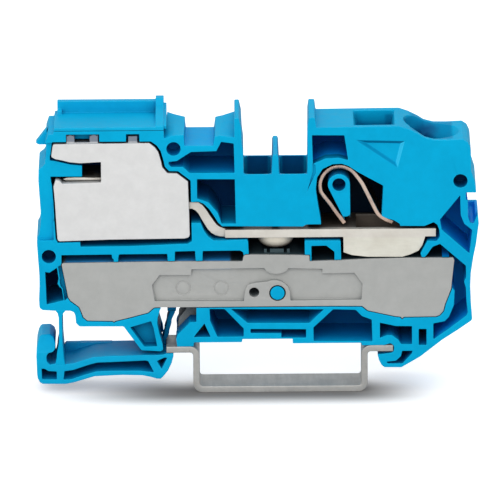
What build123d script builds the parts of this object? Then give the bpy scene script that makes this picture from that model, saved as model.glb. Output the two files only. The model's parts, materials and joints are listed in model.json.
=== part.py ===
from build123d import *
import math
import os

# Feed-through terminal block for a 35 mm mounting rail, millimetres.
# Origin: on the rail's centreline, at the plane of the rail's upper edges, half way through
# the block's width. +X is the wire-entry side, -Y the open side of the moulding, +Z up.
# "Near" is towards the open side (-Y), "far" towards the closed side (+Y).
# Every side-view outline is a closed loop of (X, Z) points.

# ---- driving dimensions --------------------------------------------------------------------
width = 10.0            # pitch of the block along the rail
wall = 1.0              # closed side wall
y_near = -width / 2     # open side
y_far = width / 2       # closed side
y_floor = y_far - wall  # floor of every pocket
clear = 0.10            # fit clearance of the inserted plastic parts
flush = 0.10            # how far inserted parts stand back from the open side
inset_near = y_near + flush     # near face of the insert and the carrier
inset_far = y_floor - clear     # their far face
overrun = 1.0           # how far a cut runs past the face it breaks through
y_out = y_near - overrun
overlap = 0.01          # how far joined solids sink into each other

foot_far = y_near + 7.5         # the latch foot is narrower than the block
foot_floor = foot_far - wall
blade_near, blade_far = -0.6, 2.4       # right flexure of the foot

bar_top, bar_bottom = 18.80, 17.50
bar_left, bar_right = -8.30, 24.18
bar_near, bar_far = -4.60, 3.80         # wide, flat part of the current bar
bend_near, bend_far = -4.10, 3.00       # narrower bent part
window_x = (11.90, 20.30)               # opening of the bar over the clamp collar
window_y = (-3.60, 3.00)

loop_x, loop_z = 9.38, 25.36            # centre of the clamp spring's loop
loop_r = 3.40                           # its outer radius
spring_t = 0.72
spring_y = (-3.20, 2.60)
split_deg = 62                          # where the loop is split between anchor and leg
loop_step_deg = 6

entry_start = (23.71, -0.15, 35.23)     # upper end of the wire entry's axis
entry_tilt = 21.0                       # degrees from the vertical
entry_r = 3.20                          # straight bore for the insulated conductor
entry_len = 15.6
mouth_r = 4.80
funnel_len = 4.2
tool_x = (12.00, 17.40)                 # operating slot for a screwdriver
tool_y = (-3.20, 3.60)
tool_z = (26.3, 37.0)

wells_x = ((-5.30, -1.18), (0.16, 4.36))    # jumper wells
well_y = (-4.68, 4.55)
well_corner_r = 0.8
well_top = 27.85 + overrun              # above the rim of the wells
well_floor = bar_top + 0.2
jumper_slot_half = 0.55
jumper_slot_y = (-2.4, 1.6)

socket_r = 1.10                         # sockets for the neighbouring block's pins
socket_floor = y_near + 3.5
pin_r = 0.95
pin_len = 1.20
PINS = [(-35.51, 14.79), (-16.13, 32.05), (27.96, 26.56)]

# peg inside the clamp spring: a round end, a small tip and a bore
peg_centre, peg_r = (9.27, 26.05), 1.70
peg_tip, peg_tip_r = (10.29, 21.60), 0.70
peg_bore_r = 1.03

locator = (-0.29, 8.59)                 # pin that locates the insert
locator_r, locator_hole_r = 1.08, 1.28

slide_bottom, slide_top = 35.05, 35.55  # sliding cover
slide_left, slide_right = -34.45, -17.62
slide_far = 4.20
prong_half = 1.00                       # half width of the cover's prongs
prong_slot_x = (-26.10, -19.40)
prong_slot_y = (-1.30, 1.30)


# ---- modelling helpers ---------------------------------------------------------------------
def box(x0, x1, y0, y1, z0, z1, mode=Mode.ADD):
    """A block given by its limits, added to or cut from the part being built."""
    with Locations(((x0 + x1) / 2, (y0 + y1) / 2, (z0 + z1) / 2)):
        Box(x1 - x0, y1 - y0, z1 - z0, mode=mode)


def outline(points, plane):
    """A closed polygon on a plane, as a sketch."""
    with BuildSketch(plane) as profile:
        with BuildLine():
            Polyline(*points, close=True)
        make_face()
    return profile.sketch


def side_plane(y):
    """The side-view plane at y; its normal is -Y, so extrusions run to the near side."""
    return Plane.XZ.offset(-y)


def prism(points, y0, y1, mode=Mode.ADD):
    """A side-view outline (X, Z) extruded from y0 to y1."""
    extrude(outline(points, side_plane(y1)), amount=y1 - y0, mode=mode)


def end_prism(points, x0, x1, mode=Mode.ADD):
    """An end-view outline (Y, Z) extruded from x0 to x1."""
    extrude(outline(points, Plane.YZ.offset(x0)), amount=x1 - x0, mode=mode)


def disc(x, z, radius, y0, y1, mode=Mode.ADD):
    """A round pin or hole along Y."""
    with BuildSketch(side_plane(y1)) as circle:
        with Locations((x, z)):
            Circle(radius)
    extrude(circle.sketch, amount=y1 - y0, mode=mode)


def side_loft(start, y_start, end, y_end, mode=Mode.ADD):
    """A ruled solid between two side-view outlines."""
    faces = [outline(points, side_plane(y)).face() for points, y in ((start, y_start), (end, y_end))]
    loft(faces, ruled=True, mode=mode)


# grey side insert, also the shape of its pocket in the housing
INSERT = [
    (-33.58, 13.52), (-33.33, 13.68), (-26.11, 13.76), (-14.54, 13.84), (-5.66, 13.78),
    (-5.46, 14.72), (-5.08, 14.86), (4.68, 14.69), (4.71, 13.72), (9.38, 13.86), (13.7, 14.03),
    (21.57, 14.16), (26.82, 14.15), (27.01, 13.77), (26.51, 9.02), (25.57, 6.55), (25.34, 5.51),
    (24.74, 4.8), (24.15, 4.6), (19.2, 4.55), (18.95, 4.28), (18.7, 4.58), (17.89, 4.67),
    (13.64, 5.64), (12.76, 6.38), (7.84, 6.43), (-19.24, 6.37), (-19.49, 6.26), (-20.28, 5.54),
    (-23.23, 4.74), (-25.35, 4.23), (-25.57, 4.05), (-25.77, 4.22), (-29.69, 4.31), (-30.31, 4.86),
    (-30.57, 5.61), (-30.93, 6.54), (-32.24, 7.55), (-32.62, 8.12), (-33.02, 10.44),
]

# ---- housing -------------------------------------------------------------------------------
# whole moulding, without the latch foot
HOUSING_OUTLINE = [
    (-34.75, 5.98), (-36.6, 6.1), (-37.01, 6.43), (-37.08, 6.85), (-37.11, 7.99), (-37.01, 10.1),
    (-37.01, 11.72), (-37.16, 14.16), (-37.31, 16.76), (-37.31, 17.57), (-37.01, 18.12),
    (-36.84, 18.93), (-36.7, 20.39), (-36.7, 22.01), (-36.85, 24.45), (-36.98, 26.88),
    (-36.93, 28.6), (-36.22, 29.15), (-35.83, 29.79), (-35.71, 31.9), (-35.8, 33.25),
    (-35.39, 34.5), (-34.6, 34.5), (-34.51, 35), (-17.62, 35), (-17.55, 32.5), (-6.98, 32.5),
    (-6.76, 33.6), (-6.76, 36.75), (-6.67, 36.9), (-6.11, 36.9), (-6.02, 36.75), (-5.73, 35.37),
    (-5.62, 32.79), (-5.43, 31.19), (-5.39, 27.85), (-1.05, 27.85), (-0.96, 30.6), (-0.8, 31),
    (-0.17, 31), (-0.02, 30.6), (0.08, 27.85), (4.41, 27.85), (4.46, 31.09), (4.51, 35.68),
    (4.66, 36.75), (4.75, 36.9), (5.52, 36.9), (5.62, 36.75), (5.8, 35.3), (17.62, 35.4),
    (18.64, 35.4), (19.98, 34.94), (21.47, 34.19), (22.44, 33.56), (23.92, 33.16), (25.9, 33.14),
    (28.35, 33.25), (29.1, 32.75), (29.49, 31.9), (29.57, 31.47), (29.63, 28.19), (30.32, 25.91),
    (30.39, 24.65), (30.39, 23.43), (30.79, 19.69), (30.37, 16.37), (29.95, 14.26), (29.57, 11.69),
    (29.48, 9.62), (29.57, 7.03), (29.77, 4.26), (29.66, 3.92), (27.5, 2.39), (25.05, 0.76),
    (21.73, -1.9), (18.8, -3.64), (16.2, -3.61), (15.71, -3.18), (15.32, -2.35), (15.12, -1.47),
    (15.71, -1.43), (17.25, -1.22), (17.58, -1.03), (17.69, -0.41), (17.58, 0.01), (17.1, 0.31),
    (16.2, 0.02), (14.63, 0), (12.7, 0), (12.62, 0.4), (2.01, 0.4), (2.01, 1.15), (-5.77, 1.15),
    (-5.83, 0.65), (-13.24, 0.65), (-13.33, 0), (-15.85, 0), (-16.02, 1.26), (-15.8, 1.94),
    (-13.19, 4.64), (-12.87, 5.88), (-12.87, 4.2), (-17.85, 4.2), (-18.4, 6.17), (-18.8, 4.81),
    (-18.89, 3.77), (-18.6, 2.21), (-18.1, 0.45), (-18.02, -0.46), (-18.4, -0.75), (-21.25, -0.56),
    (-21.45, -0.46), (-24.1, 3.35), (-30.93, 3.39), (-31.45, 3.97), (-31.54, 5.17), (-31.76, 5.72),
    (-32.28, 5.96), (-33.15, 5.97),
]
# bumps either side of the centre channel, at the far and the near face
LEFT_BUMP_FAR = [
    (-17.70, 32.0), (-17.10, 35.00), (-15.95, 34.60), (-14.40, 34.20), (-14.25, 32.4), (-14.25, 32.0),
]
LEFT_BUMP_NEAR = [
    (-17.70, 32.0), (-17.70, 33.65), (-15.95, 34.20), (-14.55, 34.30), (-14.45, 32.4), (-14.45, 32.0),
]
RIGHT_BUMP_FAR = [
    (-9.95, 32.0), (-9.95, 32.4), (-9.70, 34.15), (-8.60, 34.40), (-6.76, 35.00), (-6.76, 32.0),
]
RIGHT_BUMP_NEAR = [
    (-10.05, 32.0), (-10.05, 32.4), (-9.75, 34.00), (-9.05, 34.15), (-6.76, 33.80), (-6.76, 32.0),
]
# pockets sunk from the open side to the closed wall, in cutting order
POCKETS = {
    "contact carrier": [
        (-34.72, 33.29), (-35.03, 31.1), (-35.14, 30.79), (-35.14, 27.58), (-34.88, 26.02),
        (-34.72, 23.87), (-34.57, 20.56), (-34.4, 17.67), (-34.1, 17.01), (-30.66, 17.08),
        (-30.59, 16.36), (-23.02, 16.41), (-14.07, 16.74), (-13.43, 17.15), (-13.55, 26.9),
        (-15.46, 28.44), (-16.85, 28.46), (-17.5, 29.21), (-17.69, 30.19), (-18.12, 31.73),
        (-18.7, 32.6), (-19.58, 33.26)],
    "slot A between shelf and insert": [
        (-33.58, 15), (-25.82, 15.04), (-25.74, 14.43), (-25.52, 14.28), (-25.52, 13.55),
        (-33.58, 13.31)],
    "slot B": [(-24.81, 13.54), (-24.81, 14.37), (-24.68, 15.06), (-17.25, 15.08), (-17.18, 13.46)],
    "slot C": [(-16.05, 15.46), (-12.96, 15.53), (-12.87, 13.58), (-16.1, 13.61)],
    "slot D": [(-11.77, 15.51), (-5.99, 15.55), (-5.52, 15.22), (-5.52, 13.58), (-11.82, 13.57)],
    "behind the left wall": [
        (-36.1, 12.3), (-35.45, 12.16), (-34.2, 13.02), (-33.97, 11.28), (-34.1, 10.88),
        (-34.23, 10.39), (-33.89, 9.8), (-33.55, 9.62), (-33.3, 7.69), (-35.94, 7.02)],
    "under the centre channel": [
        (-13.47, 31.51), (-9.54, 31.63), (-8.8, 33.11), (-6.88, 32.83), (-6.77, 28.12),
        (-13.67, 28.15), (-14.66, 29.13), (-16.53, 29.15), (-16.91, 29.63), (-16.87, 29.95),
        (-15.63, 30.08), (-14.66, 30.74)],
    "over the bend of the current bar": [
        (-12.56, 27.13), (-6.76, 27.07), (-6.65, 19.92), (-8.83, 19.95), (-9.41, 21.71),
        (-10.79, 23.39), (-12.56, 24.03)],
    "current bar and its collar": [
        (-13.92, 23.41), (-12.38, 23.51), (-11.6, 23.17), (-10.76, 22.32), (-10.06, 21.26),
        (-9.37, 20.11), (-8.75, 19.49), (3.67, 19.36), (4.21, 19.68), (6.3, 19.71), (18.87, 19.35),
        (22.41, 19.31), (23.83, 19.91), (24.38, 19.52), (24.69, 18.62), (24.78, 17.56),
        (24.32, 16.89), (22.87, 16.93), (21.79, 14.87), (22.08, 13.94), (9.57, 13.75), (9.49, 16.85),
        (9.38, 17.08), (4.07, 17.1), (3.95, 16.91), (3.95, 14.54), (-4.66, 14.63), (-4.78, 17.06),
        (-4.94, 17.31), (-8.83, 17.22), (-10.06, 17.23), (-10.91, 17.86), (-11.53, 18.76),
        (-12.07, 20.08), (-13.35, 20.09), (-13.92, 20.1)],
    "inside of the locating clip under the bar": [
        (4.98, 16.21), (7.28, 16.25), (8.52, 15.24), (8.52, 13.45), (4.98, 13.49)],
    "long pocket between right wall and insert": [
        (23.67, 15.94), (24.81, 16.39), (28.78, 12.81), (28.83, 11.08), (28.49, 10.25),
        (28.78, 9.24), (28.87, 7.03), (29.07, 5.28), (28.87, 4.76), (26.51, 2.92), (23.77, 0.92),
        (23.77, 3.48), (25.52, 3.82), (26.19, 4.53), (26.96, 6.49), (27.07, 8.82), (26.2, 9.76),
        (26.2, 14.27), (22.42, 14.21), (22.95, 14.86)],
    "below the wire entry": [
        (27.9, 24.2), (27.99, 21.04), (28.52, 19.64), (29.77, 18.58), (29.32, 14.87),
        (25.08, 18.73), (24.8, 20.32)],
    "clamp spring": [
        (5.93, 23.61), (5.71, 25.39), (5.91, 27.26), (6.79, 28.65), (8.3, 29.38), (9.69, 29.46),
        (10.77, 29.07), (12.28, 28.04), (16.08, 25.87), (15.83, 20.97), (16.48, 20.64),
        (17.72, 20.27), (18.64, 19.67), (18.64, 18.85), (6.45, 18.97), (6.48, 20.19)],
    "over the clamp spring": [
        (5.15, 34.07), (10.11, 34.02), (10.69, 30.05), (9.23, 30.45), (7.22, 30.35), (5.28, 29.46)],
    "triangle at the rail seat": [(-11.62, 3.73), (-13.27, 1.54), (-10.68, 1.57)],
    "base A": [
        (-10.8, 6.09), (-8.49, 6.06), (-5.56, 2.88), (-5.56, 1.58), (-9.6, 1.56), (-10.71, 4.17)],
    "base B": [(-7.44, 6.05), (6.84, 5.9), (4.58, 3.72), (-4.94, 3.79)],
    "base slot": [
        (-4.48, 2.77), (4.09, 2.68), (4.09, 1.32), (0.28, 1.36), (0.28, 2.08), (-4.48, 2.13)],
    "base C": [
        (8.3, 5.89), (11.77, 5.77), (12.76, 4.74), (14.24, 4.17), (14.35, 0.66), (5.25, 0.76),
        (5.25, 2.96)],
    "base D": [
        (15.51, 3.67), (17.98, 3.09), (20.46, 3.06), (20.46, 0.14), (18.8, 0.16), (18.32, 0.91),
        (17.38, 1.64), (16.6, 1.64), (15.51, 1.2)],
    "base window": [(21.51, 2.6), (22.7, 2.59), (22.7, -0.01), (21.51, 0)],
    "jaw under the right rail edge": [
        (16.5, -2.71), (17.96, -2.56), (18.73, -1.85), (18.95, -0.95), (20.54, -0.96),
        (20.43, -1.37), (18.97, -2.99), (16.67, -2.97)],
}
# recess in the triangular stop
STOP_RECESS = [(-23.09, 3.2), (-19.85, 4.17), (-19.49, 3.05), (-18.94, 0.09), (-20.9, 0.04)]
stop_recess_depth = 2.2
# thin rim between the left pocket and the insert, set back from the open side
LEFT_RIM = [
    (-34.18, 13.15), (-33.6, 13.44), (-33.06, 10.45), (-32.65, 8.07), (-33.15, 7.64),
    (-33.46, 9.59), (-33.8, 10.06), (-33.92, 11.28),
]
left_rim_setback = 1.0
# snap notch in the right rim and the pocket below it
RIM_NOTCH = [(28.8, 24.66), (30.99, 24.64), (30.99, 23.42), (28.8, 23.45)]
RIM_POCKET = [
    (29.06, 24.66), (30.99, 24.64), (30.99, 23.42), (30.43, 23.43), (30.52, 21.07), (30, 19.7),
    (29.48, 19.79), (29.12, 20.77),
]
# tongue that reaches into the carrier's notch
TONGUE = [
    (-35.91, 30.18), (-34.34, 30), (-33.3, 29.75), (-32.13, 29.45), (-30.23, 29.25),
    (-30.23, 27.43), (-35.91, 27.46),
]
left_wall_setback = 0.8     # of the upper left wall and the tongue
# shallow triangular relief, at the open side and at its floor
TRIANGLE_RIM = [(11.84, 33.25), (19.4, 33.04), (18.32, 28.74)]
TRIANGLE_FLOOR = [(13.50, 32.70), (18.76, 32.56), (18.01, 29.56)]
triangle_depth = 0.55
# shallow relief beside the spring pocket
GROOVE = [(5.2, 29.62), (5.65, 29.29), (5.68, 27.99), (4.48, 25.33), (5.25, 28.16)]
groove_depth = 0.35
# snap nib on the upper left end
NIB = [(-35.60, 34.5), (-37.36, 32.2), (-36.90, 31.9), (-35.60, 31.9)]
nib_y = (-1.8, -0.2)

# box cuts: x0, x1, y0, y1, z0, z1
BOXES_BEFORE_NOTCH = [
    (-18.35, -12.85, y_near, y_floor, 4.0, 7.0),    # leaves the wall between foot and rail seat
    (-16.2, -11.5, -1.35, y_floor, 0.85, 7.0),      # insert's lug, behind the seat wedge
    (-18.60, -17.90, -0.8, y_floor, -1.2, 1.6),     # right flexure, behind the triangular stop
]
RIM_CUT = (29.05, 32.00, -3.2, y_far + overrun, 20.4, 24.6)
LEFT_WALL_CUT = (-39.0, -34.72, y_out, y_near + left_wall_setback, 17.4, 33.2)
BOXES_AFTER_TONGUE = [
    (-32.62, -27.52, y_out, y_near + 1.5, 32.6, 34.45),     # windows over the carrier
    (-23.40, -21.36, y_out, y_near + 1.5, 32.6, 34.45),
    (*prong_slot_x, *prong_slot_y, 32.0, 36.0),             # slot for the cover's prongs
]
BLADE_ROOT = (-17.35, -16.00, blade_near, y_floor + overlap, 4.35, 5.90)

# lead-in of the operating slot: z, (x0, x1), (y0, y1)
TOOL_LEAD_IN = [
    (33.9, tool_x, tool_y),
    (36.4, (tool_x[0] - 0.75, tool_x[1] + 0.80), (tool_y[0] - 1.05, tool_y[1])),
]


def cut_pockets():
    for pocket in POCKETS.values():
        prism(pocket, y_near, y_floor, Mode.SUBTRACT)
    prism(STOP_RECESS, y_near, y_near + stop_recess_depth, Mode.SUBTRACT)
    prism(LEFT_RIM, y_near, y_near + left_rim_setback, Mode.SUBTRACT)
    # the insert's pocket is the insert plus its clearance
    with BuildSketch(side_plane(y_floor)) as insert_pocket:
        with BuildLine():
            Polyline(*INSERT, close=True)
        make_face()
        offset(amount=clear, kind=Kind.INTERSECTION)
    extrude(insert_pocket.sketch, amount=y_floor - y_near, mode=Mode.SUBTRACT)


def cut_jumper_wells():
    for x0, x1 in wells_x:
        with BuildSketch(Plane.XY.offset(well_top)) as well:
            with Locations(((x0 + x1) / 2, (well_y[0] + well_y[1]) / 2)):
                RectangleRounded(x1 - x0, well_y[1] - well_y[0], well_corner_r)
        extrude(well.sketch, amount=-(well_top - well_floor), mode=Mode.SUBTRACT)


def cut_tool_slot():
    box(*tool_x, *tool_y, *tool_z, Mode.SUBTRACT)
    lead_in = []
    for z, (x0, x1), (y0, y1) in TOOL_LEAD_IN:
        with BuildSketch(Plane.XY.offset(z)) as section:
            with Locations(((x0 + x1) / 2, (y0 + y1) / 2)):
                Rectangle(x1 - x0, y1 - y0)
        lead_in.append(section.sketch.face())
    loft(lead_in, ruled=True, mode=Mode.SUBTRACT)


def cut_wire_entry():
    """Funnel and bore along the tilted wire axis."""
    tilt = math.radians(entry_tilt)
    inward = (-math.sin(tilt), 0, -math.cos(tilt))
    from_start = (Align.CENTER, Align.CENTER, Align.MIN)
    with Locations(Plane(origin=entry_start, x_dir=(0, 1, 0), z_dir=inward)):
        Cone(mouth_r, entry_r, funnel_len, align=from_start, mode=Mode.SUBTRACT)
        Cylinder(entry_r, entry_len, align=from_start, mode=Mode.SUBTRACT)


def add_spring_peg():
    """A teardrop from the closed wall almost to the open side."""
    with BuildSketch(side_plane(y_floor + overlap)) as teardrop:
        with Locations(peg_centre):
            Circle(peg_r)
        with Locations(peg_tip):
            Circle(peg_tip_r)
        make_hull()
    extrude(teardrop.sketch, amount=y_floor - y_near - 0.15)


def make_housing():
    """One open-sided moulding: a full-width outline with pockets sunk from the open side."""
    with BuildPart() as housing:
        prism(HOUSING_OUTLINE, y_near, y_far)
        side_loft(LEFT_BUMP_FAR, y_far, LEFT_BUMP_NEAR, y_near)
        side_loft(RIGHT_BUMP_FAR, y_far, RIGHT_BUMP_NEAR, y_near)
        cut_pockets()
        for limits in BOXES_BEFORE_NOTCH:
            box(*limits, Mode.SUBTRACT)
        prism(RIM_NOTCH, y_out, y_far + overrun, Mode.SUBTRACT)
        prism(RIM_POCKET, y_out, y_floor, Mode.SUBTRACT)
        box(*RIM_CUT, Mode.SUBTRACT)
        box(*LEFT_WALL_CUT, Mode.SUBTRACT)
        prism(TONGUE, y_near + left_wall_setback, y_far)
        for limits in BOXES_AFTER_TONGUE:
            box(*limits, Mode.SUBTRACT)
        cut_jumper_wells()
        cut_tool_slot()
        cut_wire_entry()
        side_loft(TRIANGLE_FLOOR, y_near + triangle_depth, TRIANGLE_RIM, y_near, Mode.SUBTRACT)
        prism(GROOVE, y_out, y_near + groove_depth, Mode.SUBTRACT)
        add_spring_peg()
        disc(*locator, locator_r, y_near + 0.12, y_floor + overlap)
        # sockets on the open side, this block's own pins on the closed side
        for x, z in PINS:
            disc(x, z, socket_r, y_out, socket_floor, Mode.SUBTRACT)
            disc(x, z, pin_r, y_far - overlap, y_far + pin_len)
        disc(*peg_centre, peg_bore_r, y_out, socket_floor, Mode.SUBTRACT)
        box(*BLADE_ROOT)
        prism(NIB, *nib_y)
    return housing.part


# ---- latch foot and its two flexures -------------------------------------------------------
FOOT = [
    (-36.80, 1.42), (-35.54, 1.47), (-34.95, 1.05), (-34.68, 0.25), (-34.76, -0.35),
    (-35.12, -0.75), (-35.75, -0.88), (-36.05, -1.28), (-36.10, -1.7), (-36.06, -2.25),
    (-35.54, -2.81), (-34.6, -2.57), (-33.23, -2.75), (-31.81, -2.57), (-30.48, -2.11),
    (-28.72, -1.58), (-26.11, -1.43), (-20.96, -1.34), (-19.01, -1.34), (-17.84, -1.24),
    (-17.59, -1.08), (-16.44, -1.09), (-16.44, -1.53), (-16.73, -2.66), (-17.31, -3.91),
    (-18.15, -4.97), (-18.46, -5.24), (-19.09, -5.19), (-19.98, -4.92), (-21.25, -4.65),
    (-24.21, -4.57), (-26.11, -4.63), (-28.72, -4.75), (-30.48, -5.3), (-31.9, -5.74),
    (-33.15, -5.97), (-36.77, -5.93), (-37.13, -5.68), (-37.48, -5.03), (-37.58, -4.28),
    (-37.65, -1.49), (-37.61, -0.37), (-37.36, 0.66), (-37.14, 1.18),
]
# weight-saving pockets
FOOT_POCKETS = [
    [(-36.87, -3.44), (-36.42, -3.45), (-35.8, -3.84), (-34.55, -3.92), (-34.52, -5.21),
     (-36.82, -5.18)],
    [(-33.32, -3.87), (-31.99, -3.69), (-29.6, -2.87), (-28.27, -2.51), (-26.11, -2.45),
     (-20.77, -2.22), (-20.37, -2.32), (-19.49, -4.15), (-21.74, -3.86), (-26.11, -3.85),
     (-28.27, -3.92), (-30.48, -4.55), (-32.25, -5.18), (-33.5, -5.26)],
    [(-19, -2.33), (-17.81, -1.76), (-17.42, -1.83), (-18.3, -3.59)],
]
# (Y, Z) wedge cut off the release lever's upper end
LEVER_SLOPE = [(y_out, -0.75), (y_near, -0.75), (y_near + 2.6, 1.80), (y_out, 1.80)]
lever_slope_x = (-38.0, -34.3)
# closed wall of the arm above the dip in its upper edge
ARM_WALL = [
    (-31.20, -2.60), (-31.20, -1.60), (-30.95, -1.36), (-26.00, -1.36), (-26.00, -1.90),
    (-30.40, -2.60),
]
LEVER_WALL = (-36.60, -34.80, foot_floor, foot_far, -4.2, -1.5)     # behind the lever's slot
# left flexure
WEB = [
    (-34.51, 5.95), (-33.12, 5.93), (-33.46, 5.42), (-33.58, 4.87), (-33.58, 0.97), (-33.46, -1.47),
    (-33.4, -2.41), (-34.57, -2.4), (-34.51, -1.46), (-34.12, 0.98), (-34.12, 4.87), (-34.23, 5.43),
]
# right flexure
BLADE = [
    (-17.02, 4.3), (-16.03, 4.29), (-16.67, 2.74), (-17.04, 1.12), (-17.44, -0.5), (-17.59, -0.89),
    (-18.36, -0.88), (-18.29, -0.49), (-17.87, 0.8), (-17.53, 2.59),
]


def make_rail_foot():
    with BuildPart() as foot:
        prism(FOOT, y_near, foot_far)
        for pocket in FOOT_POCKETS:
            prism(pocket, y_near, foot_floor, Mode.SUBTRACT)
        end_prism(LEVER_SLOPE, *lever_slope_x, Mode.SUBTRACT)
        prism(ARM_WALL, foot_floor, foot_far)
        box(*LEVER_WALL)
    return foot.part


def make_plain_prism(points, y0, y1):
    """A piece that is a single extruded side view."""
    with BuildPart() as piece:
        prism(points, y0, y1)
    return piece.part


# ---- grey side insert ----------------------------------------------------------------------
# shallow recess in the near face
INSERT_RECESS = [
    (-19.65, 10), (-18.46, 11.64), (-13.64, 11.59), (-13.53, 12.53), (-2.31, 12.64), (-1.98, 12.13),
    (-1.34, 11.78), (-0.43, 11.68), (0.48, 11.81), (1.11, 12.15), (1.44, 12.6), (6.65, 12.45),
    (6.65, 11.72), (11.57, 11.78), (12.85, 9.99), (12.67, 7.42), (1.73, 7.35), (1.62, 8.88),
    (1.33, 9.6), (0.83, 10.12), (0.25, 10.48), (-0.43, 10.65), (-1.19, 10.66), (-1.82, 10.46),
    (-3.6, 10.28), (-4.77, 9.99), (-5.15, 9.44), (-5.35, 8.64), (-5.46, 7.3), (-19.24, 7.41),
]
insert_recess_depth = 0.7
EJECTOR_MARKS = [(-14.81, 9.33), (-8.92, 9.27)]
mark_r, mark_button_r = 1.22, 0.92
hollow_wall = 1.2           # wall left round the hollow
insert_face = 2.0           # thickness left in front of it
# solid island in the hollow, round the locating hole
island_centre, island_size, island_corner_r = (-1.9, 8.6), (7.4, 4.6), 1.0
small_hole, small_hole_r, small_hole_depth = (-3.89, 8.73), 0.80, 5.0
# ribs on the upper edge, under the current bar's boss: x0, x1
RIBS_X = [(-2.34, -1.88), (-1.42, 0.74), (1.20, 1.67)]
rib_y, rib_z = (-3.7, -3.1), (14.5, 15.36)
# lug behind the rail seat
LUG = [
    (-14.40, 6.6), (-14.40, 4.90), (-15.59, 3.45), (-15.74, 1.10), (-11.75, 1.10), (-11.75, 6.6),
]
lug_y = (-1.20, 3.40)


def make_side_insert():
    with BuildPart() as insert:
        prism(INSERT, inset_near, inset_far)
        prism(INSERT_RECESS, y_out, inset_near + insert_recess_depth, Mode.SUBTRACT)
        for x, z in EJECTOR_MARKS:
            disc(x, z, mark_r, y_near, inset_near + 0.84, Mode.SUBTRACT)
            disc(x, z, mark_button_r, inset_near + 0.74, inset_near + 0.95)
        # hollow from the far side
        with BuildSketch(side_plane(inset_far)) as hollow:
            with BuildLine():
                Polyline(*INSERT, close=True)
            make_face()
            offset(amount=-hollow_wall, kind=Kind.INTERSECTION)
            with Locations(island_centre):
                RectangleRounded(*island_size, island_corner_r, mode=Mode.SUBTRACT)
        extrude(hollow.sketch, amount=inset_far - (inset_near + insert_face), mode=Mode.SUBTRACT)
        disc(*locator, locator_hole_r, y_out, y_floor, Mode.SUBTRACT)
        disc(*small_hole, small_hole_r, y_out, y_near + small_hole_depth, Mode.SUBTRACT)
        for rib_x in RIBS_X:
            box(*rib_x, *rib_y, *rib_z)
        prism(LUG, *lug_y)
    return insert.part


# ---- white contact carrier -----------------------------------------------------------------
CARRIER = [
    (-34.6, 32.83), (-34.72, 32.38), (-34.91, 31.1), (-34.88, 30.82), (-34.34, 30.49),
    (-33.3, 30.27), (-32.13, 29.96), (-30.56, 29.79), (-27.31, 29.96), (-27.31, 26.68),
    (-33.3, 26.52), (-33.64, 26.98), (-34.29, 27.15), (-34.65, 26.01), (-34.49, 23.87),
    (-34.34, 20.56), (-34.17, 17.66), (-34.04, 17.34), (-33.81, 17.21), (-26.11, 17.42),
    (-14.54, 17.52), (-13.95, 17.68), (-13.73, 18.03), (-13.94, 26.74), (-15.62, 28.09),
    (-17.08, 28.1), (-17.87, 29.05), (-18.07, 30.09), (-18.47, 31.54), (-19.01, 32.31),
    (-19.85, 33), (-34.38, 32.91),
]
CHAMBER = [
    (-33.6, 18.1), (-14.9, 18.1), (-14.9, 26.0), (-17.6, 27.6), (-19.3, 28.6), (-19.3, 31.4),
    (-26.1, 31.4), (-26.1, 25.5), (-33.6, 25.5),
]
carrier_face = 0.65         # wall on the near side of the chamber
# box cuts: x0, x1, y0, y1, z0, z1
CARRIER_SLOTS = [
    (-28.0, -26.0, -4.05, 2.60, 26.68, 27.60),      # fork's lip, in the notch's end wall
    (*prong_slot_x, *prong_slot_y, 30.5, 34.0),     # prongs
    (-16.0, -13.0, bend_near - 0.15, y_floor, bar_top + 3.20, 23.50),   # current bar
]
# round-topped studs that show in the housing's windows: x, radius
STUDS = [(-31.95, 0.62), (-28.35, 0.66)]
stud_top_z, stud_base_z, stud_base_height = 33.65, 33.1, 1.1
stud_far, stud_len = -3.7, 0.9
STUD_BASE = (-32.4, -27.9, -4.60, -3.80, 32.6, 33.05)
SQUARE_STUD = (-23.10, -21.66, -4.60, -3.70, 32.6, 34.05)


def make_contact_carrier():
    with BuildPart() as carrier:
        prism(CARRIER, inset_near, inset_far)
        prism(CHAMBER, inset_near + carrier_face, inset_far, Mode.SUBTRACT)
        for limits in CARRIER_SLOTS:
            box(*limits, Mode.SUBTRACT)
        for x, radius in STUDS:
            with BuildSketch(side_plane(stud_far)) as stud:
                with Locations((x, stud_top_z)):
                    Circle(radius)
                with Locations((x, stud_base_z)):
                    Rectangle(2 * radius, stud_base_height)
            extrude(stud.sketch, amount=stud_len)
        box(*STUD_BASE)
        box(*SQUARE_STUD)
    return carrier.part


# ---- disconnect slide, contact fork and its spring -----------------------------------------
ridge_left = -34.05
# (Y, Z) wedge at the right end, climbing towards the far side
SLIDE_END = [
    (slide_far, slide_bottom), (slide_far, 37.90), (2.70, 37.90), (2.10, 36.90), (-3.40, 35.90),
    (y_near, 35.70), (y_near, slide_bottom),
]
slide_end_len = 1.25
# (Y, Z) lower strip beyond that wedge
SLIDE_STRIP = [
    (slide_far, slide_bottom), (slide_far, 36.75), (-1.00, 35.95), (-4.20, 35.60),
    (-4.20, slide_bottom),
]
slide_strip_end = slide_right + 0.42
# prongs that carry the fork: x0, x1
PRONGS_X = [(-25.90, -24.72), (-23.88, -22.60)]
prong_bottom = 28.0

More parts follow.
